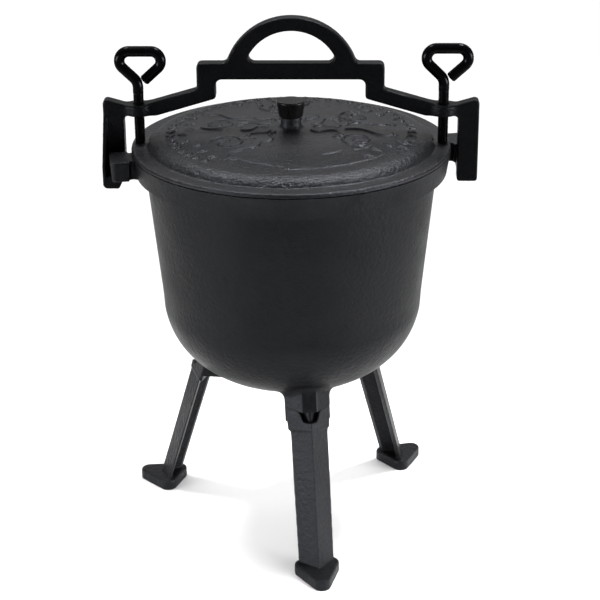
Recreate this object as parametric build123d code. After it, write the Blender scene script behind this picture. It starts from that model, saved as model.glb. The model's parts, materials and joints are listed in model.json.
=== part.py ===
from build123d import *
import os
from math import atan2, cos, degrees, hypot, radians, sin, tan

# Tripod cooking cauldron: cast pot on three slide-on legs, cast lid with a knob, and a
# cast clamp yoke whose two hand screws press the lid down on the rim.
# Millimetres, +Z up, floor at Z = 0, front leg towards -Y, clamping lugs on +X and -X.
# Every function below models about the pot's own vertical axis; export moves it.

# ---- driving dimensions ----
LID_R = 135.0
RIM_Z = 344.6
FOOT_REACH = 154.15
YOKE_ANGLE = -10.6
SCREW_U = 128.0

# ---- pot ----
BOWL_R = 113.05
BOWL_TOP_Z = 221.9
BOWL_BOTTOM_Z = 133.0
BOWL_POWER = 2.0 / 2.33
BOWL_STEPS = 8
BAND_Z = 326.3
BAND_R = 132.0
WALL_TOP_R = 123.6
WALL = 5.0
RIM_INNER_R = 126.5
RIM_STEP_Z = 331.0
BAND_ROOT_R = 2.5

# ---- lugs on the rim ----
LUG_R = 153.8
LUG_WIDTH = 31.2
LUG_NECK_WIDTH = 22.0
LUG_BOTTOM_Z = 326.4
LUG_TOP_Z = 343.6
LUG_ROOT_R = 128.0
LUG_HEAD_R = 137.3
LUG_SHOULDER = 0.8
LUG_CORNER_R = 4.5
LUG_FILLET_R = 2.0
LUG_SHOULDER_R = 1.4
LUG_EDGE_R = 1.0
LUG_DRAFT = 3.0

# ---- legs ----
LEG_ANGLES = {"front_leg": -90.0, "right_leg": 30.0, "left_leg": 150.0}
LEG_SLOPE = 0.303
RIDGE_R = 98.3
RIDGE_Z = 127.6
LEG_HALF_TOP = 16.8
LEG_HALF_BOTTOM = 15.8
LEG_DEPTH_TOP = 16.4
LEG_DEPTH_BOTTOM = 15.0
LEG_WALL = 4.0
LEG_SUNK = 4.0
COLLAR_TOP_Z = 137.2
COLLAR_CUT_Z = 123.4
COLLAR_REACH = 14.0
COLLAR_HALF_TOP = 19.0
COLLAR_HALF_BOTTOM = 17.3
COLLAR_STEP_TOP = 1.3
COLLAR_STEP_BOTTOM = 0.7
COLLAR_DEPTH = 19.2
LIP_THICK = 3.0
LIP_GAP_HALF = 5.5
NOTCH_Z = 130.6
NOTCH_TOP_W = 16.5
NOTCH_BOTTOM_W = 11.5
NOTCH_DEPTH = 13.0
NOTCH_CORNER_R = 2.0
FOOT_THICK = 10.0
FOOT_CORNER_R = 7.85
FOOT_TOE_R = 146.3
FOOT_HEEL_R = 122.0
FOOT_HEEL_T = 11.44
FOOT_EDGE_R = 2.0

# ---- leg bosses under the pot ----
BOSS_BOTTOM_Z = 125.0
BOSS_HALF = 19.8
BOSS_BACK = 50.0
BOSS_BACK_HALF = 13.0
BOSS_NOSE_HALF = 6.2
BOSS_NOSE_BACK = 4.7
BOSS_FLANK_BACK = 17.8
BOSS_TOP_Z = 185.0
BOSS_OVERLAP = 2.0
BOSS_ROOT_R = 7.5
BOSS_EDGE_R = 2.0
SLIDE_GAP = 0.35
TONGUE_DEPTH = 7.0

# ---- lid ----
FLANGE_TOP_Z = 348.6
FLANGE_INNER_R = 121.5
DOME_R = 110.0
DOME_EDGE_Z = 356.0
DOME_TOP_Z = 361.6
LID_WALL = 4.5
LID_RING_R = 125.5
LID_RING_W = 4.0
LID_RING_DEPTH = 8.0
LID_RING_UNDERCUT = 1.0
LID_EDGE_R = 2.2
SHOULDER_BULGE_R = 1.2
SHOULDER_BULGE_Z = 0.9
NECK_R = 8.6
NECK_TOP_Z = 371.0
NECK_FLARE_R = 4.0
PAD_HALF = 9.0
PAD_CUT_H = 12.0
VENT_R = 1.6
VENTS = ((88.1, 22.8), (105.5, 18.8))
BORE_CUT_H = 60.0

# ---- knob and its screw ----
KNOB_TOP_Z = 385.4
KNOB_BOTTOM_R = 9.9
KNOB_TOP_R = 12.3
KNOB_EDGE_R = 1.5
M6_R = 3.0
M6_THREAD_DEPTH = 9.0
M6_HEAD_R = 6.0
M6_HEAD_H = 3.6
M6_SLOT_W = 1.6
M6_SLOT_DEPTH = 1.8
M6_HEAD_EDGE_R = 1.0
KNOB_HOLE_SPARE = 1.0
LID_BORE_R = 3.3
THREAD_GAP = 0.05

# ---- clamp yoke ----
YOKE_HALF_LENGTH = 157.9
YOKE_THICK = 12.6
YOKE_OUTER_TOP_Z = 388.0
SEAT_TOP_Z = 382.6
SEAT_INNER_U = 124.0
SEAT_OUTER_U = 139.0
ARM_BOTTOM_Z = 372.9
ARM_BOTTOM_U = 113.0
SHOULDER_U = 78.4
SHOULDER_FOOT_Z = 395.8
INNER_U = 62.5
INNER_FOOT_Z = 387.8
BAR_TOP_Z = 418.4
BAR_BOTTOM_Z = 404.2
HANDLE_U = 0.8
ARCH_R = 57.6
ARCH_Z = 399.2
WINDOW_R = 40.7
WINDOW_Z = 404.7
WINDOW_CORNER_R = 5.0
ARCH_FOOT_R = 4.0
HUB_R = 11.0
HUB_BLEND_R = 12.0
BAR_CORNER_R = 4.5
INNER_CORNER_R = 5.0
BAR_FOOT_R = 3.0
ARM_BEND_R = 12.0
HOLE_GAP = 0.05
CLAW_INNER_U = 140.5
CLAW_BOTTOM_Z = 315.5
CLAW_CORNER_R = 4.0
CLAW_FOOT_R = 2.5
CLAW_OVERLAP = 7.0
LEDGE_V = 27.0
LEDGE_TOP_Z = 326.0
LEDGE_CHAMFER = 4.0
LEDGE_CHAMFER_H = 8.0
GUSSET_THICK = 3.0
GUSSET_OVERLAP = 1.0
GUSSET_TOP_Z = 375.0
GUSSET_LOW_Z = 335.0
YOKE_EDGE_R = 1.6
YOKE_TIP_R = 3.5
YOKE_SOFT_LOW_Z = 385.6

# ---- clamp screws ----
ROD_R = 4.5
SHANK_TOP_Z = 397.0
LEFT_SCREW_DROP = 2.4
TIP_CHAMFER = 0.8
LOOP_NECK_H = 6.5
LOOP_LEFT_S = -26.8
LOOP_RIGHT_S = 32.8
LOOP_TOP_H = 32.5
LOOP_END = (5.2, 7.4)
LOOP_RADII = (11.0, 8.2, 8.2)

# ---- slack for picking edges by size and by place ----
PICK_SLACK = 1.0
PICK_TOL = 0.01

POT_AXIS_Y = (FOOT_REACH - LID_R) / 2.0
V_HALF_ANGLE = atan2(LEG_HALF_TOP, LEG_DEPTH_TOP)


def turned(shape, outline_plane=Plane.XZ):
    """Solid of revolution about Z from a closed (radius, height) outline."""
    return revolve(outline_plane * make_face(shape), Axis.Z)


# ---------------------------------------------------------------- pot

def bowl_curve(radius, bottom_z):
    """Round-bottomed bowl wall from the floor centre up to BOWL_TOP_Z."""
    depth = BOWL_TOP_Z - bottom_z
    points = []
    for step in range(BOWL_STEPS + 1):
        angle = radians(90.0 * (1.0 - step / BOWL_STEPS))
        r = radius * cos(angle) ** BOWL_POWER if step else 0.0
        z = BOWL_TOP_Z - depth * sin(angle) ** BOWL_POWER
        points.append((r, z))
    taper = (WALL_TOP_R - BOWL_R, BAND_Z - BOWL_TOP_Z)
    return Spline(*points, tangents=[(1, 0), taper])


def pot_outside():
    """Everything inside the pot's outer skin, as one solid of revolution."""
    curve = bowl_curve(BOWL_R, BOWL_BOTTOM_Z)
    rest = Polyline(
        (BOWL_R, BOWL_TOP_Z),
        (WALL_TOP_R, BAND_Z),
        (BAND_R, BAND_Z),
        (LID_R, RIM_Z),
        (0, RIM_Z),
        (0, BOWL_BOTTOM_Z),
    )
    return turned(curve + rest)


def pot_cavity():
    """The hollow of the pot, with the wider seat inside the rim band."""
    curve = bowl_curve(BOWL_R - WALL, BOWL_BOTTOM_Z + WALL)
    step_r = WALL_TOP_R - WALL
    rest = Polyline(
        (BOWL_R - WALL, BOWL_TOP_Z),
        (step_r, BAND_Z),
        (RIM_INNER_R, RIM_STEP_Z),
        (RIM_INNER_R, RIM_Z),
        (0, RIM_Z),
        (0, BOWL_BOTTOM_Z + WALL),
    )
    return turned(curve + rest)


def lug():
    """Clamping lug on +X: a square head on a narrower neck, drawn in slightly towards its foot."""
    head = LUG_WIDTH / 2
    neck = LUG_NECK_WIDTH / 2
    half = [
        ((LUG_ROOT_R, head), 0),
        ((LID_R, neck), LUG_FILLET_R),
        ((LUG_HEAD_R, neck), LUG_SHOULDER_R),
        ((LUG_HEAD_R + LUG_SHOULDER, head), LUG_SHOULDER_R),
        ((LUG_R, head), LUG_CORNER_R),
    ]
    corners = half + [((x, -y), r) for (x, y), r in reversed(half)]
    outline = FilletPolyline(*[p for p, r in corners], radius=[r for p, r in corners], close=True)
    top = Plane(origin=(0, 0, LUG_TOP_Z), z_dir=(0, 0, -1), x_dir=(1, 0, 0))
    block = extrude(top * make_face(outline), LUG_TOP_Z - LUG_BOTTOM_Z, taper=LUG_DRAFT)
    rims = block.edges().filter_by(Plane.XY).filter_by(lambda e: e.center().X > LUG_HEAD_R + LUG_SHOULDER)
    return fillet(rims, LUG_EDGE_R)


# ---------------------------------------------------------------- leg sections
# A leg section lies in a horizontal plane. Its first coordinate is measured inwards from
# the leg's outer ridge (negative = towards the pot's axis), its second across the leg.

def ridge_radius(z):
    """Distance of the leg's outer ridge from the pot's axis at height z."""
    return RIDGE_R + (RIDGE_Z - z) * LEG_SLOPE


def at_height(face, z):
    """Put a leg section into the +X radial plane at height z."""
    return Pos(ridge_radius(z), 0, z) * face


def along_leg(section, low_z, high_z):
    """Prism of a leg section that follows the leg's slope between two heights."""
    rise = high_z - low_z
    way = Vector(-LEG_SLOPE, 0, 1)
    return extrude(at_height(section, low_z), rise * way.length, dir=way.normalized())


def mirrored_face(side):
    """Face from the outline points on one side of the leg's middle plane."""
    other = [(x, -y) for x, y in reversed(side) if y > 0]
    return make_face(Polyline(*side, *other, close=True))


def inner_half(depth):
    """Half-width of the hollow inside the V at a depth behind the ridge."""
    return (depth - LEG_WALL / sin(V_HALF_ANGLE)) * tan(V_HALF_ANGLE)


def leg_section(half, depth):
    """V-shaped section with its wings cut off square at the back."""
    wall_x = LEG_WALL / sin(V_HALF_ANGLE)
    return mirrored_face([(0, 0), (-depth, half), (-depth, inner_half(depth)), (-wall_x, 0)])


def collar_section(half, step):
    """Thicker V, proud of the leg by step at its ridge, whose back edges turn inwards as two lips."""
    lip_x = -COLLAR_DEPTH + LIP_THICK
    side = [
        (step, 0),
        (step - half / tan(V_HALF_ANGLE), half),
        (-COLLAR_DEPTH, half),
        (-COLLAR_DEPTH, LIP_GAP_HALF),
        (lip_x, LIP_GAP_HALF),
        (lip_x, inner_half(-lip_x)),
        (-LEG_WALL / sin(V_HALF_ANGLE), 0),
    ]
    return mirrored_face(side)


def foot_plate():
    """Rounded triangular sole plate, one corner outwards."""
    corners = [(FOOT_TOE_R, 0), (FOOT_HEEL_R, FOOT_HEEL_T), (FOOT_HEEL_R, -FOOT_HEEL_T)]
    discs = Sketch() + [Pos(x, y) * Circle(FOOT_CORNER_R) for x, y in corners]
    plate = extrude(make_hull(discs.edges()), FOOT_THICK)
    return fillet(plate.faces().sort_by(Axis.Z)[-1].edges(), FOOT_EDGE_R)


def leg_bar():
    """The V-shaped leg itself, slightly tapered, from inside the sole plate to the collar."""
    low = at_height(leg_section(LEG_HALF_BOTTOM, LEG_DEPTH_BOTTOM), FOOT_THICK - LEG_SUNK)
    high = at_height(leg_section(LEG_HALF_TOP, LEG_DEPTH_TOP), COLLAR_TOP_Z)
    return loft([low, high], ruled=True)


def square_to_leg(z):
    """Frame on the leg's ridge at height z, with its own Z along the leg."""
    return Pos(ridge_radius(z), 0, z) * Rot(0, -degrees(atan2(LEG_SLOPE, 1.0)), 0)


def collar():
    """Thicker V that flares upwards, with inturned lips, cut square to the leg below."""
    low = at_height(collar_section(COLLAR_HALF_BOTTOM, COLLAR_STEP_BOTTOM), COLLAR_CUT_Z - COLLAR_REACH)
    high = at_height(collar_section(COLLAR_HALF_TOP, COLLAR_STEP_TOP), COLLAR_TOP_Z)
    width = 4 * COLLAR_HALF_TOP
    below = Box(width, width, width, align=(Align.CENTER, Align.CENTER, Align.MAX))
    return loft([low, high], ruled=True) - square_to_leg(COLLAR_CUT_Z) * below


def notch():
    """Flared slot through the collar's ridge, open at the top, where the boss's nose enters."""
    top = 2 * (COLLAR_TOP_Z - NOTCH_Z)
    flare = (NOTCH_TOP_W - NOTCH_BOTTOM_W) / 2
    outline = FilletPolyline(
        (-NOTCH_BOTTOM_W / 2 - 2 * flare, top),
        (-NOTCH_BOTTOM_W / 2, 0),
        (NOTCH_BOTTOM_W / 2, 0),
        (NOTCH_BOTTOM_W / 2 + 2 * flare, top),
        radius=[0, NOTCH_CORNER_R, NOTCH_CORNER_R, 0],
        close=True,
    )
    cutter = extrude(Plane.YZ * make_face(outline), NOTCH_DEPTH, both=True)
    return square_to_leg(NOTCH_Z) * cutter


def leg():
    """One complete leg, pointing along +X."""
    return foot_plate() + leg_bar() + (collar() - notch()) - notch()


# ---------------------------------------------------------------- boss

def boss_half(depth):
    """Half-width of the boss at a depth behind the ridge, narrowing towards the pot's axis."""
    share = (depth - BOSS_FLANK_BACK) / (BOSS_BACK - BOSS_FLANK_BACK)
    return BOSS_HALF + share * (BOSS_BACK_HALF - BOSS_HALF)


def boss_key_section():
    """Shoulder, neck and T-shaped tongue that the collar's lips slide round."""
    lip_front = -COLLAR_DEPTH + LIP_THICK + SLIDE_GAP
    neck_half = LIP_GAP_HALF - SLIDE_GAP
    side_gap = SLIDE_GAP / cos(V_HALF_ANGLE)
    back = -COLLAR_DEPTH - SLIDE_GAP
    side = [
        (-TONGUE_DEPTH, inner_half(TONGUE_DEPTH) - side_gap),
        (lip_front, inner_half(-lip_front) - side_gap),
        (lip_front, neck_half),
        (back, neck_half),
        (back, boss_half(-back)),
        (-BOSS_BACK, BOSS_BACK_HALF),
    ]
    return mirrored_face(side)


def boss_nose_section():
    """Blunt V of the boss above the collar, flush with the collar's outer faces."""
    side = [
        (-BOSS_NOSE_BACK, BOSS_NOSE_HALF),
        (-BOSS_FLANK_BACK, BOSS_HALF),
        (-BOSS_BACK, BOSS_BACK_HALF),
    ]
    return mirrored_face(side)


def boss():
    """Leg boss pointing along +X, reaching up into the bowl wall."""
    key = along_leg(boss_key_section(), BOSS_BOTTOM_Z, COLLAR_TOP_Z + BOSS_OVERLAP)
    nose = along_leg(boss_nose_section(), COLLAR_TOP_Z, BOSS_TOP_Z)
    solid = key + nose
    rise = BOSS_TOP_Z - COLLAR_TOP_Z
    tall = solid.edges().filter_by(lambda e: e.bounding_box().size.Z > rise - PICK_SLACK)
    return fillet(tall.filter_by(lambda e: e.center().X > ridge_radius(RIDGE_Z) / 2), BOSS_EDGE_R)


def with_boss_roots(solid):
    """Blend the bosses into the bowl with a concave fillet along every joint line."""
    roots = solid.edges().filter_by(GeomType.BSPLINE)
    roots = roots.filter_by(lambda e: BOSS_BOTTOM_Z < e.center().Z < BOSS_TOP_Z)
    roots = roots.filter_by(lambda e: hypot((e @ 0).X, (e @ 0).Y) > BOSS_HALF)
    return fillet(roots, BOSS_ROOT_R)


def pot_body():
    """Cast pot: bowl, rim band, two lugs and three leg bosses."""
    outside = pot_outside()
    bosses = [Rot(0, 0, angle) * boss() for angle in LEG_ANGLES.values()]
    solid = with_boss_roots(outside + bosses)
    step = solid.edges().filter_by(GeomType.CIRCLE)
    step = step.filter_by(lambda e: abs(e.center().Z - BAND_Z) < PICK_TOL)
    solid = fillet(step.filter_by(lambda e: e.radius < BAND_R - PICK_SLACK), BAND_ROOT_R)
    lugs = [lug(), Rot(0, 0, 180) * lug()]
    return solid + lugs - pot_cavity()


# ---------------------------------------------------------------- lid and knob

def dome_height(r):
    """Height of the lid's top skin at radius r inside the shoulder."""
    return DOME_TOP_Z - (DOME_TOP_Z - DOME_EDGE_Z) * (r / DOME_R) ** 2


def lid_outline():
    """Closed (radius, height) outline of the lid."""
    neck_foot = NECK_R + NECK_FLARE_R
    shoulder_mid = (
        (FLANGE_INNER_R + DOME_R) / 2 + SHOULDER_BULGE_R,
        (DOME_EDGE_Z + FLANGE_TOP_Z) / 2 + SHOULDER_BULGE_Z,
    )
    arc_in = NECK_FLARE_R * (1 - 0.5 ** 0.5)
    under_z = DOME_TOP_Z - LID_WALL
    neck = ThreePointArc(
        (NECK_R, dome_height(neck_foot) + NECK_FLARE_R),
        (NECK_R + arc_in, dome_height(neck_foot) + arc_in),
        (neck_foot, dome_height(neck_foot)),
    )
    dome = ThreePointArc(
        (neck_foot, dome_height(neck_foot)),
        (DOME_R / 2, dome_height(DOME_R / 2)),
        (DOME_R, DOME_EDGE_Z),
    )
    shoulder = ThreePointArc((DOME_R, DOME_EDGE_Z), shoulder_mid, (FLANGE_INNER_R, FLANGE_TOP_Z))
    edge = Polyline((FLANGE_INNER_R, FLANGE_TOP_Z), (LID_R - LID_EDGE_R, FLANGE_TOP_Z))
    corner = RadiusArc((LID_R - LID_EDGE_R, FLANGE_TOP_Z), (LID_R, FLANGE_TOP_Z - LID_EDGE_R), LID_EDGE_R)
    rim = Polyline(
        (LID_R, FLANGE_TOP_Z - LID_EDGE_R),
        (LID_R, RIM_Z),
        (LID_RING_R, RIM_Z),
        (LID_RING_R, RIM_Z - LID_RING_DEPTH),
        (LID_RING_R - LID_RING_W, RIM_Z - LID_RING_DEPTH),
        (LID_RING_R - LID_RING_W, RIM_Z - LID_RING_UNDERCUT),
        (DOME_R, DOME_EDGE_Z - LID_WALL),
    )
    under = ThreePointArc(
        (DOME_R, DOME_EDGE_Z - LID_WALL),
        (DOME_R / 2, dome_height(DOME_R / 2) - LID_WALL),
        (0, under_z),
    )
    middle = Polyline(
        (0, under_z),
        (0, NECK_TOP_Z),
        (NECK_R, NECK_TOP_Z),
        (NECK_R, dome_height(neck_foot) + NECK_FLARE_R),
    )
    return neck + dome + shoulder + edge + corner + rim + under + middle


def screw_pad():
    """Cutter for the flat seat under a clamp screw on +X, open towards the lid's edge."""
    round_end = Cylinder(PAD_HALF, PAD_CUT_H, align=(Align.CENTER, Align.CENTER, Align.MIN))
    slot = Box(2 * PAD_HALF, 2 * PAD_HALF, PAD_CUT_H, align=(Align.MIN, Align.CENTER, Align.MIN))
    return Pos(SCREW_U, 0, FLANGE_TOP_Z) * (round_end + slot)


def lid():
    """Cast lid with its neck, underside locating ring, screw pads and two steam vents."""
    body = turned(lid_outline())
    for angle in (YOKE_ANGLE, YOKE_ANGLE + 180.0):
        body -= Rot(0, 0, angle) * screw_pad()
    for r, angle in VENTS:
        body -= Rot(0, 0, angle) * Pos(r, 0, DOME_EDGE_Z) * Cylinder(VENT_R, BORE_CUT_H)
    return body - Pos(0, 0, NECK_TOP_Z) * Cylinder(LID_BORE_R, BORE_CUT_H)


def lid_knob():
    """Inverted-cone knob with a blind M6 hole in its underside."""
    height = KNOB_TOP_Z - NECK_TOP_Z
    cone = Pos(0, 0, NECK_TOP_Z + height / 2) * Cone(KNOB_BOTTOM_R, KNOB_TOP_R, height)
    cone = fillet(cone.edges().filter_by(GeomType.CIRCLE), KNOB_EDGE_R)
    depth = M6_THREAD_DEPTH + KNOB_HOLE_SPARE
    hole = Pos(0, 0, NECK_TOP_Z + depth / 2) * Cylinder(M6_R + THREAD_GAP, depth)
    return cone - hole


def knob_screw():
    """Slotted pan-head M6 screw, from under the lid up into the knob."""
    seat_z = dome_height(M6_HEAD_R) - LID_WALL
    length = NECK_TOP_Z + M6_THREAD_DEPTH - seat_z
    shank = Pos(0, 0, seat_z + length / 2) * Cylinder(M6_R, length)
    head = Pos(0, 0, seat_z - M6_HEAD_H / 2) * Cylinder(M6_HEAD_R, M6_HEAD_H)
    head = fillet(head.edges().sort_by(Axis.Z)[0], M6_HEAD_EDGE_R)
    slot = Pos(0, 0, seat_z - M6_HEAD_H) * Box(4 * M6_HEAD_R, M6_SLOT_W, 2 * M6_SLOT_DEPTH)
    return shank + head - slot


# ---------------------------------------------------------------- clamp yoke
# The yoke is modelled with its length along X (u), its thickness along Y (v), and is
# turned by YOKE_ANGLE about the pot's axis at the end.

def yoke_band():
    """Outline of the two stepped arms and the bar between them, in the (u, z) plane."""
    half = [
        ((SHOULDER_U, BAR_TOP_Z), BAR_CORNER_R),
        ((SHOULDER_U, SHOULDER_FOOT_Z), BAR_FOOT_R),
        ((SEAT_INNER_U, SEAT_TOP_Z), ARM_BEND_R),
        ((SEAT_OUTER_U, SEAT_TOP_Z), ARM_BEND_R),
        ((YOKE_HALF_LENGTH, YOKE_OUTER_TOP_Z), YOKE_TIP_R),
        ((YOKE_HALF_LENGTH, ARM_BOTTOM_Z - CLAW_OVERLAP), 0),
        ((CLAW_INNER_U, ARM_BOTTOM_Z - CLAW_OVERLAP), 0),
        ((CLAW_INNER_U, ARM_BOTTOM_Z), CLAW_CORNER_R),
        ((ARM_BOTTOM_U, ARM_BOTTOM_Z), ARM_BEND_R),
        ((INNER_U, INNER_FOOT_Z), BAR_FOOT_R),
        ((INNER_U, BAR_BOTTOM_Z), INNER_CORNER_R),
    ]
    other = [((-u, z), r) for (u, z), r in reversed(half)]
    corners = half + other
    points = [p for p, r in corners]
    radii = [r for p, r in corners]
    return make_face(FilletPolyline(*points, radius=radii, close=True))


def handle_arch():
    """Half-round carrying handle above the bar, with its D-shaped hand window."""
    above = Pos(HANDLE_U, BAR_TOP_Z + 2 * ARCH_R) * Rectangle(4 * ARCH_R, 4 * ARCH_R)
    arch = (Pos(HANDLE_U, ARCH_Z) * Circle(ARCH_R)) & above
    window = (Pos(HANDLE_U, WINDOW_Z) * Circle(WINDOW_R)) & above
    window = fillet(window.vertices(), WINDOW_CORNER_R)
    return arch, window


def yoke_front():
    """The yoke seen from the front: band, arch and window in one face."""
    arch, window = handle_arch()
    face = yoke_band() + arch
    reach = (ARCH_R ** 2 - (BAR_TOP_Z - ARCH_Z) ** 2) ** 0.5
    for side in (1, -1):
        foot = face.vertices().sort_by_distance((HANDLE_U + side * reach, BAR_TOP_Z))[0]
        face = fillet(foot, ARCH_FOOT_R)
    return face - window


def yoke_plan():
    """The yoke seen from above: a slim beam swelling round each screw hole."""
    beam = Rectangle(2 * YOKE_HALF_LENGTH, YOKE_THICK)
    plan = beam + [Pos(SCREW_U, 0) * Circle(HUB_R), Pos(-SCREW_U, 0) * Circle(HUB_R)]
    reach = (HUB_R ** 2 - (YOKE_THICK / 2) ** 2) ** 0.5
    for u in (SCREW_U + reach, SCREW_U - reach, -SCREW_U + reach, -SCREW_U - reach):
        for v in (YOKE_THICK / 2, -YOKE_THICK / 2):
            corner = plan.vertices().sort_by_distance((u, v))[0]
            plan = fillet(corner, HUB_BLEND_R)
    return plan


def claw():
    """Hook at the -X end: upright, ledge that goes under the lug, and outer gusset wall."""
    half = YOKE_THICK / 2
    width = YOKE_HALF_LENGTH - CLAW_INNER_U
    low = (Align.MIN, Align.CENTER, Align.MIN)
    upright = Pos(-YOKE_HALF_LENGTH, 0, CLAW_BOTTOM_Z)
    upright *= Box(width, YOKE_THICK, ARM_BOTTOM_Z - CLAW_BOTTOM_Z, align=low)
    feet = upright.edges().filter_by(Axis.Y).group_by(Axis.Z)[0]
    upright = fillet(feet, CLAW_FOOT_R)
    ledge_outline = Polyline(
        (-YOKE_HALF_LENGTH, LEDGE_TOP_Z),
        (-CLAW_INNER_U, LEDGE_TOP_Z),
        (-CLAW_INNER_U, CLAW_BOTTOM_Z + LEDGE_CHAMFER_H),
        (-CLAW_INNER_U - LEDGE_CHAMFER, CLAW_BOTTOM_Z),
        (-YOKE_HALF_LENGTH + CLAW_FOOT_R, CLAW_BOTTOM_Z),
        (-YOKE_HALF_LENGTH, CLAW_BOTTOM_Z + CLAW_FOOT_R),
        close=True,
    )
    ledge = extrude(Plane.XZ * make_face(ledge_outline), LEDGE_V)
    wall_outline = Polyline(
        (-half + GUSSET_OVERLAP, GUSSET_TOP_Z),
        (-LEDGE_V, GUSSET_LOW_Z),
        (-LEDGE_V, CLAW_BOTTOM_Z + CLAW_FOOT_R),
        (-half + GUSSET_OVERLAP, CLAW_BOTTOM_Z + CLAW_FOOT_R),
        close=True,
    )
    gusset = extrude(Pos(-YOKE_HALF_LENGTH, 0, 0) * (Plane.YZ * make_face(wall_outline)), GUSSET_THICK)
    return upright + ledge + gusset


def with_soft_edges(body):
    """Round the cast edges of the handle and arms, between the two screw hubs."""
    half = YOKE_THICK / 2

    def on_flat_side(edge):
        points = [edge @ share for share in (0, 0.5, 1)]
        return all(abs(abs(p.Y) - half) < PICK_TOL for p in points)

    outline = body.edges().filter_by(on_flat_side)
    upper = outline.filter_by(lambda e: e.center().Z > YOKE_SOFT_LOW_Z and abs(e.center().X) < SCREW_U)
    return fillet(upper, YOKE_EDGE_R)


def clamp_yoke():
    """Cast yoke: handle, stepped arms, screw hubs and two claws, turned into its locked place."""
    depth = 2 * HUB_R
    front = extrude(Plane.XZ * yoke_front(), depth, both=True)
    plan = extrude(yoke_plan(), 2 * BAR_TOP_Z)
    body = with_soft_edges(front & plan)
    body = body + claw() + Rot(0, 0, 180) * claw()
    for u in (SCREW_U, -SCREW_U):
        body -= Pos(u, 0, SEAT_TOP_Z) * Cylinder(ROD_R + HOLE_GAP, 4 * YOKE_THICK)
    return Rot(0, 0, YOKE_ANGLE) * body


# ---------------------------------------------------------------- clamp screws

def clamp_shank(drop):
    """Straight 9 mm shank on the pot's axis, tip on the lid's flange, its top lowered by drop."""
    length = SHANK_TOP_Z - drop - FLANGE_TOP_Z
    rod = Pos(0, 0, FLANGE_TOP_Z + length / 2) * Cylinder(ROD_R, length)
    return chamfer(rod.edges().sort_by(Axis.Z)[0], TIP_CHAMFER)


def clamp_handle(drop):
    """Bent-wire finger loop that continues the shank upwards, lowered by drop."""
    path = Plane.XZ * FilletPolyline(
        (0, SHANK_TOP_Z),
        (0, SHANK_TOP_Z + LOOP_NECK_H),
        (LOOP_LEFT_S, SHANK_TOP_Z + LOOP_TOP_H),
        (LOOP_RIGHT_S, SHANK_TOP_Z + LOOP_TOP_H),
        (LOOP_END[0], SHANK_TOP_Z + LOOP_END[1]),
        radius=list(LOOP_RADII),
    )
    wire = sweep(Pos(0, 0, SHANK_TOP_Z) * Circle(ROD_R), path=path)
    end = wire.faces().filter_by(GeomType.PLANE).sort_by(Axis.X)[-1]
    return Pos(0, 0, -drop) * chamfer(end.edges(), TIP_CHAMFER)


def placed_screw(shape, side):
    """Move a screw part from the pot's axis to its hole in the yoke, on side +1 or -1."""
    return Rot(0, 0, YOKE_ANGLE) * Pos(side * SCREW_U, 0, 0) * shape


def check_clearances():
    """The knob stays under the yoke's bar, and the lugs inside the claws' outer walls."""
    assert KNOB_TOP_Z < BAR_BOTTOM_Z
    corner = hypot(LUG_R - LUG_CORNER_R, LUG_WIDTH / 2 - LUG_CORNER_R) + LUG_CORNER_R
    assert corner + SLIDE_GAP < hypot(YOKE_HALF_LENGTH - GUSSET_THICK, YOKE_THICK / 2)


def all_parts():
    """Every node by name, about the pot's axis."""
    parts = {
        "pot_body": pot_body(),
        "lid": lid(),
        "lid_knob": lid_knob(),
        "knob_screw": knob_screw(),
        "clamp_yoke": clamp_yoke(),
        "left_clamp_shank": placed_screw(clamp_shank(LEFT_SCREW_DROP), -1),
        "left_clamp_handle": placed_screw(clamp_handle(LEFT_SCREW_DROP), -1),
        "right_clamp_shank": placed_screw(clamp_shank(0.0), 1),
        "right_clamp_handle": placed_screw(clamp_handle(0.0), 1),
    }
    for name, angle in LEG_ANGLES.items():
        parts[name] = Rot(0, 0, angle) * leg()
    return parts


check_clearances()
os.makedirs("parts", exist_ok=True)
for node, shape in all_parts().items():
    export_step(Pos(0, POT_AXIS_Y, 0) * shape, f"parts/{node}.step")
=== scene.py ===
import json
import math

import bpy
import numpy as np
from mathutils import Euler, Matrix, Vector
from mathutils.bvhtree import BVHTree


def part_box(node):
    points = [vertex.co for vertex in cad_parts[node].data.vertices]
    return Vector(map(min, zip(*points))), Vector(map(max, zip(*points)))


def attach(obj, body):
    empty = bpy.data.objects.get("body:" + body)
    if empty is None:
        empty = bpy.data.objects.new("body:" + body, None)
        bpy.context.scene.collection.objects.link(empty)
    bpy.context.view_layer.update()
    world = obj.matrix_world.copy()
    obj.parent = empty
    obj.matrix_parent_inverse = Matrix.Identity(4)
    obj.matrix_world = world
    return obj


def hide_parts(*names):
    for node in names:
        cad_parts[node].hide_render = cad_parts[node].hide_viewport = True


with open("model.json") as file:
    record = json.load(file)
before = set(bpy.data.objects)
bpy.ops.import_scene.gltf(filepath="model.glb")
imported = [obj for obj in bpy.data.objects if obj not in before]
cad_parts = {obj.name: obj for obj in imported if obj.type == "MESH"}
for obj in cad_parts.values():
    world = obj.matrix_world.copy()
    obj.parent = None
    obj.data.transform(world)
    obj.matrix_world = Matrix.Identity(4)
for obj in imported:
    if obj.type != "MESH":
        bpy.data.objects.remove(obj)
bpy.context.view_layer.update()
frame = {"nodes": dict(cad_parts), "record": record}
NODES = frame["nodes"]

# Lengths are metres, +Z up, front leg towards -Y, angles in degrees from +X.
MM = 0.001
KNOB_LOW, KNOB_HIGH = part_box("lid_knob")
LID_LOW, LID_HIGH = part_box("lid")
POT_AXIS = Vector(((KNOB_LOW.x + KNOB_HIGH.x) / 2, (KNOB_LOW.y + KNOB_HIGH.y) / 2, 0.0))

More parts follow.
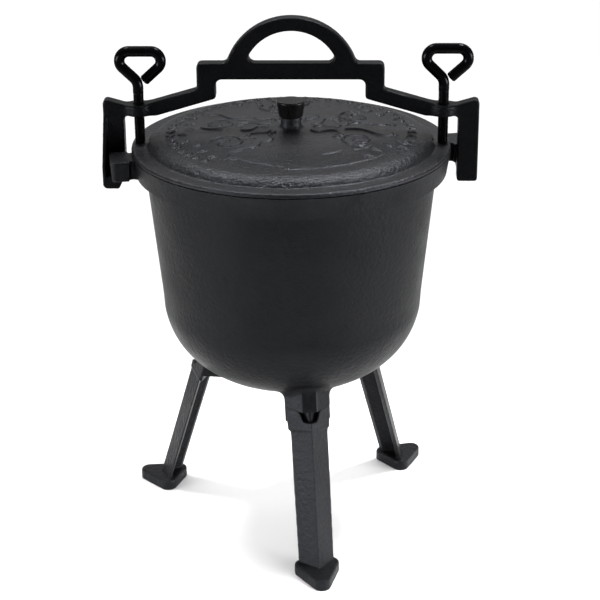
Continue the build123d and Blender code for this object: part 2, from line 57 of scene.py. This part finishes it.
# Lid, in millimetres: the ornament's ring, how far it starts above the lid's lowest point, how closely
# the rounded copy has to follow the CAD surface to be raised, and the gap left above the rim's edge.
ORNAMENT_INNER_R = 14.5
ORNAMENT_OUTER_R = 108
ORNAMENT_LOW = 13.0
FOLLOW_TOLERANCE = 0.6
SEAM_R = 131.5
SEAM_GAP = 0.7

# Voxel size in millimetres and smoothing rounds of the rounded copies.
LID_VOXEL, LID_ROUNDS = 0.6, 5
YOKE_VOXEL, YOKE_ROUNDS = 0.8, 4
LEG_VOXEL, LEG_ROUNDS = 0.7, 4
SMOOTH_FACTOR = 0.5

# Clamp screw thread, in millimetres.
THREAD_PITCH = 1.25
THREAD_DEPTH = 0.55
THREAD_TIP = 0.8
THREAD_RUNOUT = 3.0


# ---------------------------------------------------------------- camera, floor and light

def link(obj):
    """Put a new object into the scene."""
    bpy.context.scene.collection.objects.link(obj)
    return obj


def make_camera():
    """Long lens, slightly above the lid, a little to the left of the front leg."""
    data = bpy.data.cameras.new("camera")
    data.lens = 105.0
    data.sensor_width = 36.0
    camera = link(bpy.data.objects.new("camera", data))
    camera.location = (-0.22146, -1.3914, 0.80088)
    camera.rotation_euler = Euler([math.radians(a) for a in (67.146, 0.353, -9.399)])
    bpy.context.scene.camera = camera


def make_mesh(name, verts, faces):
    """New mesh object in the scene from plain lists."""
    mesh = bpy.data.meshes.new(name)
    mesh.from_pydata(verts, [], faces)
    mesh.update()
    return link(bpy.data.objects.new(name, mesh))


def make_floor():
    """Large pale round floor."""
    radius = 14.0
    count = 96
    ring = [2 * math.pi * i / count for i in range(count)]
    verts = [(radius * math.cos(a), radius * math.sin(a), 0.0) for a in ring]
    floor = make_mesh("floor", verts, [tuple(range(count))])
    mat = bpy.data.materials.new("floor_white")
    mat.use_nodes = True
    shader = mat.node_tree.nodes["Principled BSDF"]
    shader.inputs["Base Color"].default_value = (0.93, 0.93, 0.93, 1)
    shader.inputs["Roughness"].default_value = 0.9
    shader.inputs["Specular IOR Level"].default_value = 0.05
    floor.data.materials.append(mat)


def area_light(name, place, aim, size, power, spread=180.0):
    """Soft rectangular lamp at place, pointing at aim."""
    data = bpy.data.lights.new(name, "AREA")
    data.spread = math.radians(spread)
    data.shape = "RECTANGLE"
    data.size, data.size_y = size
    data.energy = power
    lamp = link(bpy.data.objects.new(name, data))
    lamp.location = place
    way = Vector(aim) - Vector(place)
    lamp.rotation_euler = way.to_track_quat("-Z", "Y").to_euler()


def make_light():
    """Low side softboxes, a wide one overhead behind, two small high front ones and a dim sky."""
    pot = (0.0, 0.0, 0.25)
    lid = (0.0, -0.1, 0.34)
    area_light("soft_left", (-2.1, -0.75, 0.36), pot, (1.7, 0.65), 8.0, spread=44)
    area_light("soft_right", (1.95, -1.1, 0.36), pot, (1.7, 0.65), 11.5, spread=44)
    area_light("soft_back", (0.0, 2.0, 2.2), (0.0, 0.9, 0.0), (3.4, 1.6), 40)
    area_light("high_left", (-0.45, 0.28, 1.65), lid, (0.26, 0.34), 1.25, spread=38)
    area_light("high_right", (0.52, 0.12, 1.65), lid, (0.26, 0.34), 2.3, spread=38)
    world = bpy.data.worlds.new("studio")
    world.use_nodes = True
    tree = world.node_tree
    coords = tree.nodes.new("ShaderNodeTexCoord")
    split = tree.nodes.new("ShaderNodeSeparateXYZ")
    height = add(tree, "ShaderNodeMapRange", From_Min=0.0, From_Max=1.0, To_Min=0.2, To_Max=0.8)
    background = tree.nodes["Background"]
    background.inputs["Color"].default_value = (1, 1, 1, 1)
    tree.links.new(coords.outputs["Generated"], split.inputs[0])
    tree.links.new(split.outputs["Z"], height.inputs["Value"])
    tree.links.new(height.outputs[0], background.inputs["Strength"])
    scene = bpy.context.scene
    scene.world = world
    scene.view_settings.view_transform = "Standard"


# ---------------------------------------------------------------- materials

def add(tree, kind, **inputs):
    """New shader node with its inputs set by name."""
    node = tree.nodes.new(kind)
    for key, value in inputs.items():
        node.inputs[key.replace("_", " ")].default_value = value
    return node


def mix(tree, blend="MIX"):
    """New colour mixing node."""
    node = tree.nodes.new("ShaderNodeMix")
    node.data_type = "RGBA"
    node.blend_type = blend
    return node


def socket(sockets, name):
    """A mix node's colour socket by name (its other data types share the names)."""
    return next(s for s in sockets if s.name == name and s.type == "RGBA")


def iron(name, colour, wear_and_glint, roughness, specular, grain=0.5, grit=0.3):
    """Dark casting: sand grain in the surface, cloudy tone, paler edges that are partly rubbed wear
    and partly painted glints on edges and relief tops.
    """
    mat = bpy.data.materials.new(name)
    mat.use_nodes = True
    tree = mat.node_tree
    links = tree.links
    shader = tree.nodes["Principled BSDF"]
    shader.inputs["Specular IOR Level"].default_value = specular
    shader.inputs["Specular Tint"].default_value = (0.86, 0.9, 1.0, 1)
    where = tree.nodes.new("ShaderNodeTexCoord").outputs["Object"]

    fine = add(tree, "ShaderNodeTexNoise", Scale=620.0, Detail=3.0, Roughness=0.6)
    coarse = add(tree, "ShaderNodeTexNoise", Scale=260.0, Detail=2.0, Roughness=0.5)
    cloud = add(tree, "ShaderNodeTexNoise", Scale=26.0, Detail=4.0, Roughness=0.55)
    for noise in (fine, coarse, cloud):
        links.new(where, noise.inputs["Vector"])

    tone = add(tree, "ShaderNodeMapRange", From_Min=0.3, From_Max=0.7, To_Min=0.0, To_Max=1.0)
    links.new(cloud.outputs[0], tone.inputs["Value"])
    ground = mix(tree)
    socket(ground.inputs, "A").default_value = (*(c * 0.75 for c in colour), 1)
    socket(ground.inputs, "B").default_value = (*(c * 1.25 for c in colour), 1)
    links.new(tone.outputs[0], ground.inputs["Factor"])

    speck = add(tree, "ShaderNodeMapRange", From_Min=0.35, From_Max=0.65,
                To_Min=1 - grain, To_Max=1 + grain)
    links.new(fine.outputs[0], speck.inputs["Value"])
    grained = mix(tree, "MULTIPLY")
    grained.inputs["Factor"].default_value = 1.0
    links.new(socket(ground.outputs, "Result"), socket(grained.inputs, "A"))
    links.new(speck.outputs[0], socket(grained.inputs, "B"))

    # Paler colour where the surface is pointy: partly rubbed wear, partly a painted glint on edges and
    # relief tops.
    edge = tree.nodes.new("ShaderNodeNewGeometry").outputs["Pointiness"]
    wear_and_glint_edges = add(tree, "ShaderNodeMapRange", From_Min=0.53, From_Max=0.62, To_Min=0.0, To_Max=1.0)
    links.new(edge, wear_and_glint_edges.inputs["Value"])
    patchy_wear_and_glint = tree.nodes.new("ShaderNodeMath")
    patchy_wear_and_glint.operation = "MULTIPLY"
    links.new(wear_and_glint_edges.outputs[0], patchy_wear_and_glint.inputs[0])
    links.new(tone.outputs[0], patchy_wear_and_glint.inputs[1])
    wear_and_glint_mix = mix(tree)
    socket(wear_and_glint_mix.inputs, "B").default_value = (*wear_and_glint, 1)
    links.new(socket(grained.outputs, "Result"), socket(wear_and_glint_mix.inputs, "A"))
    links.new(patchy_wear_and_glint.outputs[0], wear_and_glint_mix.inputs["Factor"])
    links.new(socket(wear_and_glint_mix.outputs, "Result"), shader.inputs["Base Color"])

    rough = add(tree, "ShaderNodeMapRange", From_Min=0.0, From_Max=1.0,
                To_Min=roughness - 0.07, To_Max=roughness + 0.07)
    links.new(tone.outputs[0], rough.inputs["Value"])
    links.new(rough.outputs[0], shader.inputs["Roughness"])

    small = add(tree, "ShaderNodeBump", Strength=grit, Distance=0.8 * MM)
    large = add(tree, "ShaderNodeBump", Strength=grit, Distance=1.2 * MM)
    links.new(fine.outputs[0], small.inputs["Height"])
    links.new(coarse.outputs[0], large.inputs["Height"])
    links.new(small.outputs[0], large.inputs["Normal"])
    links.new(large.outputs[0], shader.inputs["Normal"])
    return mat


# Each finish gives its base colour, then the paler colour of its pointy edges, which is partly rubbed
# wear and partly painted glint.
MATERIALS = {
    "cast_iron": iron(
        "seasoned_iron", (0.0022, 0.0023, 0.0025), (0.009, 0.0093, 0.01),
        roughness=0.42, specular=0.085, grit=0.45,
    ),
    "cast_iron_lid": iron(
        "seasoned_iron_lid", (0.0034, 0.0035, 0.004), (0.014, 0.0146, 0.0165),
        roughness=0.36, specular=0.12, grit=0.7,
    ),
    "leg_iron": iron(
        "leg_iron", (0.0058, 0.006, 0.0066), (0.016, 0.0165, 0.018),
        roughness=0.42, specular=0.09, grit=0.5,
    ),
    "knob_iron": iron(
        "knob_iron", (0.002, 0.002, 0.0021), (0.012, 0.012, 0.012),
        roughness=0.25, specular=0.12, grit=0.04,
    ),
    "yoke_iron": iron(
        "yoke_iron", (0.0012, 0.0013, 0.0015), (0.007, 0.0072, 0.0078),
        roughness=0.38, specular=0.05,
    ),
    "screw_steel": iron(
        "screw_steel", (0.0004, 0.0004, 0.0005), (0.002, 0.002, 0.002),
        roughness=0.16, specular=0.035, grit=0.02,
    ),
    "plain_steel": iron(
        "plain_steel", (0.35, 0.35, 0.36), (0.5, 0.5, 0.5),
        roughness=0.3, specular=0.5, grit=0.03,
    ),
}
FINISH = {part["node"]: part["material_slot"] for part in frame["record"]["subparts"]}


# ---------------------------------------------------------------- soft cast copies of CAD nodes

def soft_copy(name, node, voxel, rounds):
    """Evenly meshed copy of a CAD node with its sharp edges rounded off like a casting's."""
    obj = link(bpy.data.objects.new(name, NODES[node].data.copy()))
    obj.data.materials.clear()
    remesh = obj.modifiers.new("even", "REMESH")
    remesh.mode = "VOXEL"
    remesh.voxel_size = voxel
    remesh.use_smooth_shade = True
    smooth = obj.modifiers.new("round", "SMOOTH")
    smooth.factor = SMOOTH_FACTOR
    smooth.iterations = rounds
    graph = bpy.context.evaluated_depsgraph_get()
    baked = bpy.data.meshes.new_from_object(obj.evaluated_get(graph))
    obj.modifiers.clear()
    obj.data = baked
    return obj


def settle(piece, node, body):
    """Let a piece stand for a CAD node: it rides that node's body and takes its finish."""
    piece.data.materials.clear()
    piece.data.materials.append(MATERIALS[FINISH[node]])
    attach(piece, body)
    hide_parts(node)


def mesh_points(obj):
    """Vertex positions of an object as an array."""
    points = np.empty(len(obj.data.vertices) * 3)
    obj.data.vertices.foreach_get("co", points)
    return points.reshape(-1, 3)


# ---------------------------------------------------------------- the lid's relief
# Everything is drawn in the lid's plane about its axis, in millimetres, as raised strokes.

def polar(r, angle):
    """Point at radius r and an angle in degrees."""
    return np.array([r * math.cos(math.radians(angle)), r * math.sin(math.radians(angle))])


def arc_line(r, start, end, r_end):
    """Points along an arc about the lid's axis that drifts to another radius."""
    share = np.linspace(0, 1, max(4, int(abs(end - start) / 2)))
    return np.array([polar(r + (r_end - r) * s, start + (end - start) * s) for s in share])


def scroll_line(centre, radius, turns, start, hand):
    """Points along a spiral that winds inwards from radius round a centre."""
    share = np.linspace(0, 1, int(16 * turns) + 4)
    angle = np.radians(start) + hand * share * turns * 2 * math.pi
    r = radius * (1 - 0.78 * share)
    return np.stack([centre[0] + r * np.cos(angle), centre[1] + r * np.sin(angle)], axis=1)


def wave_line(start, end, bow):
    """Gently bowed S-shaped line between two points."""
    share = np.linspace(0, 1, 24)
    way = end - start
    side = np.array([-way[1], way[0]]) / np.hypot(*way)
    return start + share[:, None] * way + (bow * np.sin(2 * math.pi * share))[:, None] * side


def stroke(field, points, line, width, height):
    """Raise the field along a polyline whose ends thin out."""
    low = line.min(axis=0) - width
    high = line.max(axis=0) + width
    near = np.flatnonzero(np.all((points > low) & (points < high), axis=1))
    spot = points[near]
    best = np.zeros(len(near))
    last = len(line) - 1
    for i in range(last):
        way = line[i + 1] - line[i]
        share = np.clip(((spot - line[i]) @ way) / max(way @ way, 1e-9), 0, 1)
        gap = np.hypot(*(spot - line[i] - share[:, None] * way).T)
        along = (i + share) / last
        half = width / 2 * np.clip(4 * np.minimum(along, 1 - along) + 0.45, 0, 1)
        best = np.maximum(best, np.sqrt(np.clip(1 - (gap / half) ** 2, 0, 1)))
    field[near] = np.maximum(field[near], height * best)


def leaf(field, points, root, angle, length, width, height):
    """Raise a pointed leaf with a groove along its middle."""
    way = polar(1.0, angle)
    spot = points - root
    along = (spot @ way) / length
    across = np.abs(spot @ np.array([-way[1], way[0]]))
    half = width / 2 * np.sin(math.pi * np.clip(along, 0, 1) ** 0.8) ** 0.9
    share = across / np.maximum(half, 1e-6)
    body = np.sqrt(np.clip(1 - share ** 2, 0, 1))
    groove = 0.55 * np.exp(-((across / 0.45) ** 2))
    np.maximum(field, height * body * (1 - groove), out=field)


def relief(points):
    """Height in millimetres of the lid's cast ornament at points about its axis."""
    field = np.zeros(len(points))
    high, low = 1.7, 1.1
    # five scrolls with a leafy stem each, leaving the front plain
    for middle in (22.0, 92.0, 158.0, 206.0, 322.0):
        hand = 1 if middle < 180 else -1
        scroll = scroll_line(polar(64, middle), 16, 1.4, middle + 40 * hand, hand)
        stroke(field, points, scroll, 2.2, high)
        stem = wave_line(polar(46, middle - 22 * hand), polar(90, middle - 19 * hand), 4.0)
        stroke(field, points, stem, 2.0, high)
        for step in range(5):
            spot = middle + hand * (-24 + 11 * step)
            r = 86 + 4 * math.sin(step * 1.7)
            leaf(field, points, polar(r, spot), spot + hand * (60 - 24 * step), 10, 4.6, high)
        for step in range(3):
            spot = middle + hand * (-10 + 9 * step)
            leaf(field, points, polar(41, spot), spot + hand * (35 - 30 * step), 9, 4.0, high)
    # bare twigs fanning out from the knob's neck
    for step in range(11):
        spot = -40 + 26 * step
        if 238 < spot < 300:
            continue
        bow = 3.5 if step % 2 else -3.5
        stroke(field, points, wave_line(polar(19, spot), polar(43, spot + 12), bow), 1.8, high)
    # thin ground lines round the plain front
    ground_lines = ((226, 257, 84, 94), (281, 297, 72, 72), (303, 318, 76, 80), (258, 312, 99, 98))
    for start, end, r, r_end in ground_lines:
        stroke(field, points, arc_line(r, start, end, r_end), 1.3, low)
    # border of paired leaves, left out at the front
    for step in range(60):
        spot = 6.0 * step
        if 218 < spot < 322:
            continue
        leaf(field, points, polar(98, spot), spot + 52, 9.0, 4.0, high)
        leaf(field, points, polar(101.5, spot + 3), spot - 40, 6.5, 3.0, high)
    return field


def make_lid():
    """Evenly meshed lid with its ornament raised from the dome and a fine gap at the rim's edge."""
    lid = soft_copy("ornate_lid", "lid", LID_VOXEL * MM, LID_ROUNDS)
    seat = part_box("pot_body")[1].z
    points = mesh_points(lid)
    flat = points[:, :2] - np.array(POT_AXIS[:2])
    radius = np.hypot(*flat.T)
    surface = BVHTree.FromObject(NODES["lid"], bpy.context.evaluated_depsgraph_get())
    ring = (radius > ORNAMENT_INNER_R * MM) & (radius < ORNAMENT_OUTER_R * MM)
    top = np.flatnonzero(ring & (points[:, 2] > LID_LOW.z + ORNAMENT_LOW * MM))
    raised = relief(flat[top] / MM)
    for share, i in zip(raised, top):
        start = Vector((points[i, 0], points[i, 1], LID_HIGH.z + MM))
        spot = surface.ray_cast(start, Vector((0, 0, -1)))[0]
        if spot is not None and abs(spot.z - points[i, 2]) < FOLLOW_TOLERANCE * MM:
            points[i, 2] = spot.z + share * MM
    seam = (radius > SEAM_R * MM) & (points[:, 2] < seat + SEAM_GAP * MM)
    points[seam, 2] += SEAM_GAP * MM
    lid.data.vertices.foreach_set("co", points.ravel())
    lid.data.update()
    settle(lid, "lid", "lid")


# ---------------------------------------------------------------- screw threads

def make_shank(side):
    """Clamp screw's straight part with a cut thread, standing for the plain CAD shank."""
    node = side + "_clamp_shank"
    low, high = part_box(node)
    centre = (low + high) / 2
    r = (high.x - low.x) / 2
    pitch = THREAD_PITCH * MM
    depth = THREAD_DEPTH * MM
    around = 40
    rows_per_pitch = 8
    tip = THREAD_TIP * MM
    plain_top = high.z - THREAD_RUNOUT * MM
    rows = int(round((high.z - low.z) / pitch * rows_per_pitch))
    verts = [(centre.x, centre.y, low.z)]
    for row in range(rows + 1):
        z = low.z + (high.z - low.z) * row / rows
        for i in range(around):
            turn = i / around
            phase = ((z - low.z) / pitch - turn) % 1.0
            cut = depth * (1 - abs(2 * phase - 1)) * min(1.0, max(0.0, (plain_top - z) / pitch))
            radius = min(r - cut, r - max(0.0, tip - (z - low.z)))
            angle = 2 * math.pi * turn
            verts.append((centre.x + radius * math.cos(angle), centre.y + radius * math.sin(angle), z))
    verts.append((centre.x, centre.y, high.z))
    faces = []
    last = 1 + rows * around
    for i in range(around):
        j = (i + 1) % around
        faces.append((0, 1 + j, 1 + i))
        for row in range(rows):
            a = 1 + row * around
            faces.append((a + i, a + j, a + around + j, a + around + i))
        faces.append((last + i, last + j, len(verts) - 1))
    shank = make_mesh(side + "_thread", verts, faces)
    shank.data.shade_smooth()
    settle(shank, node, side + "_shank")


# ---------------------------------------------------------------- assembly

make_camera()
make_floor()
make_light()

for name, finish in FINISH.items():
    NODES[name].data.materials.clear()
    NODES[name].data.materials.append(MATERIALS[finish])

make_lid()
settle(soft_copy("cast_yoke", "clamp_yoke", YOKE_VOXEL * MM, YOKE_ROUNDS), "clamp_yoke", "yoke")
for leg in ("front_leg", "right_leg", "left_leg"):
    settle(soft_copy("cast_" + leg, leg, LEG_VOXEL * MM, LEG_ROUNDS), leg, leg)
for side in ("left", "right"):
    make_shank(side)
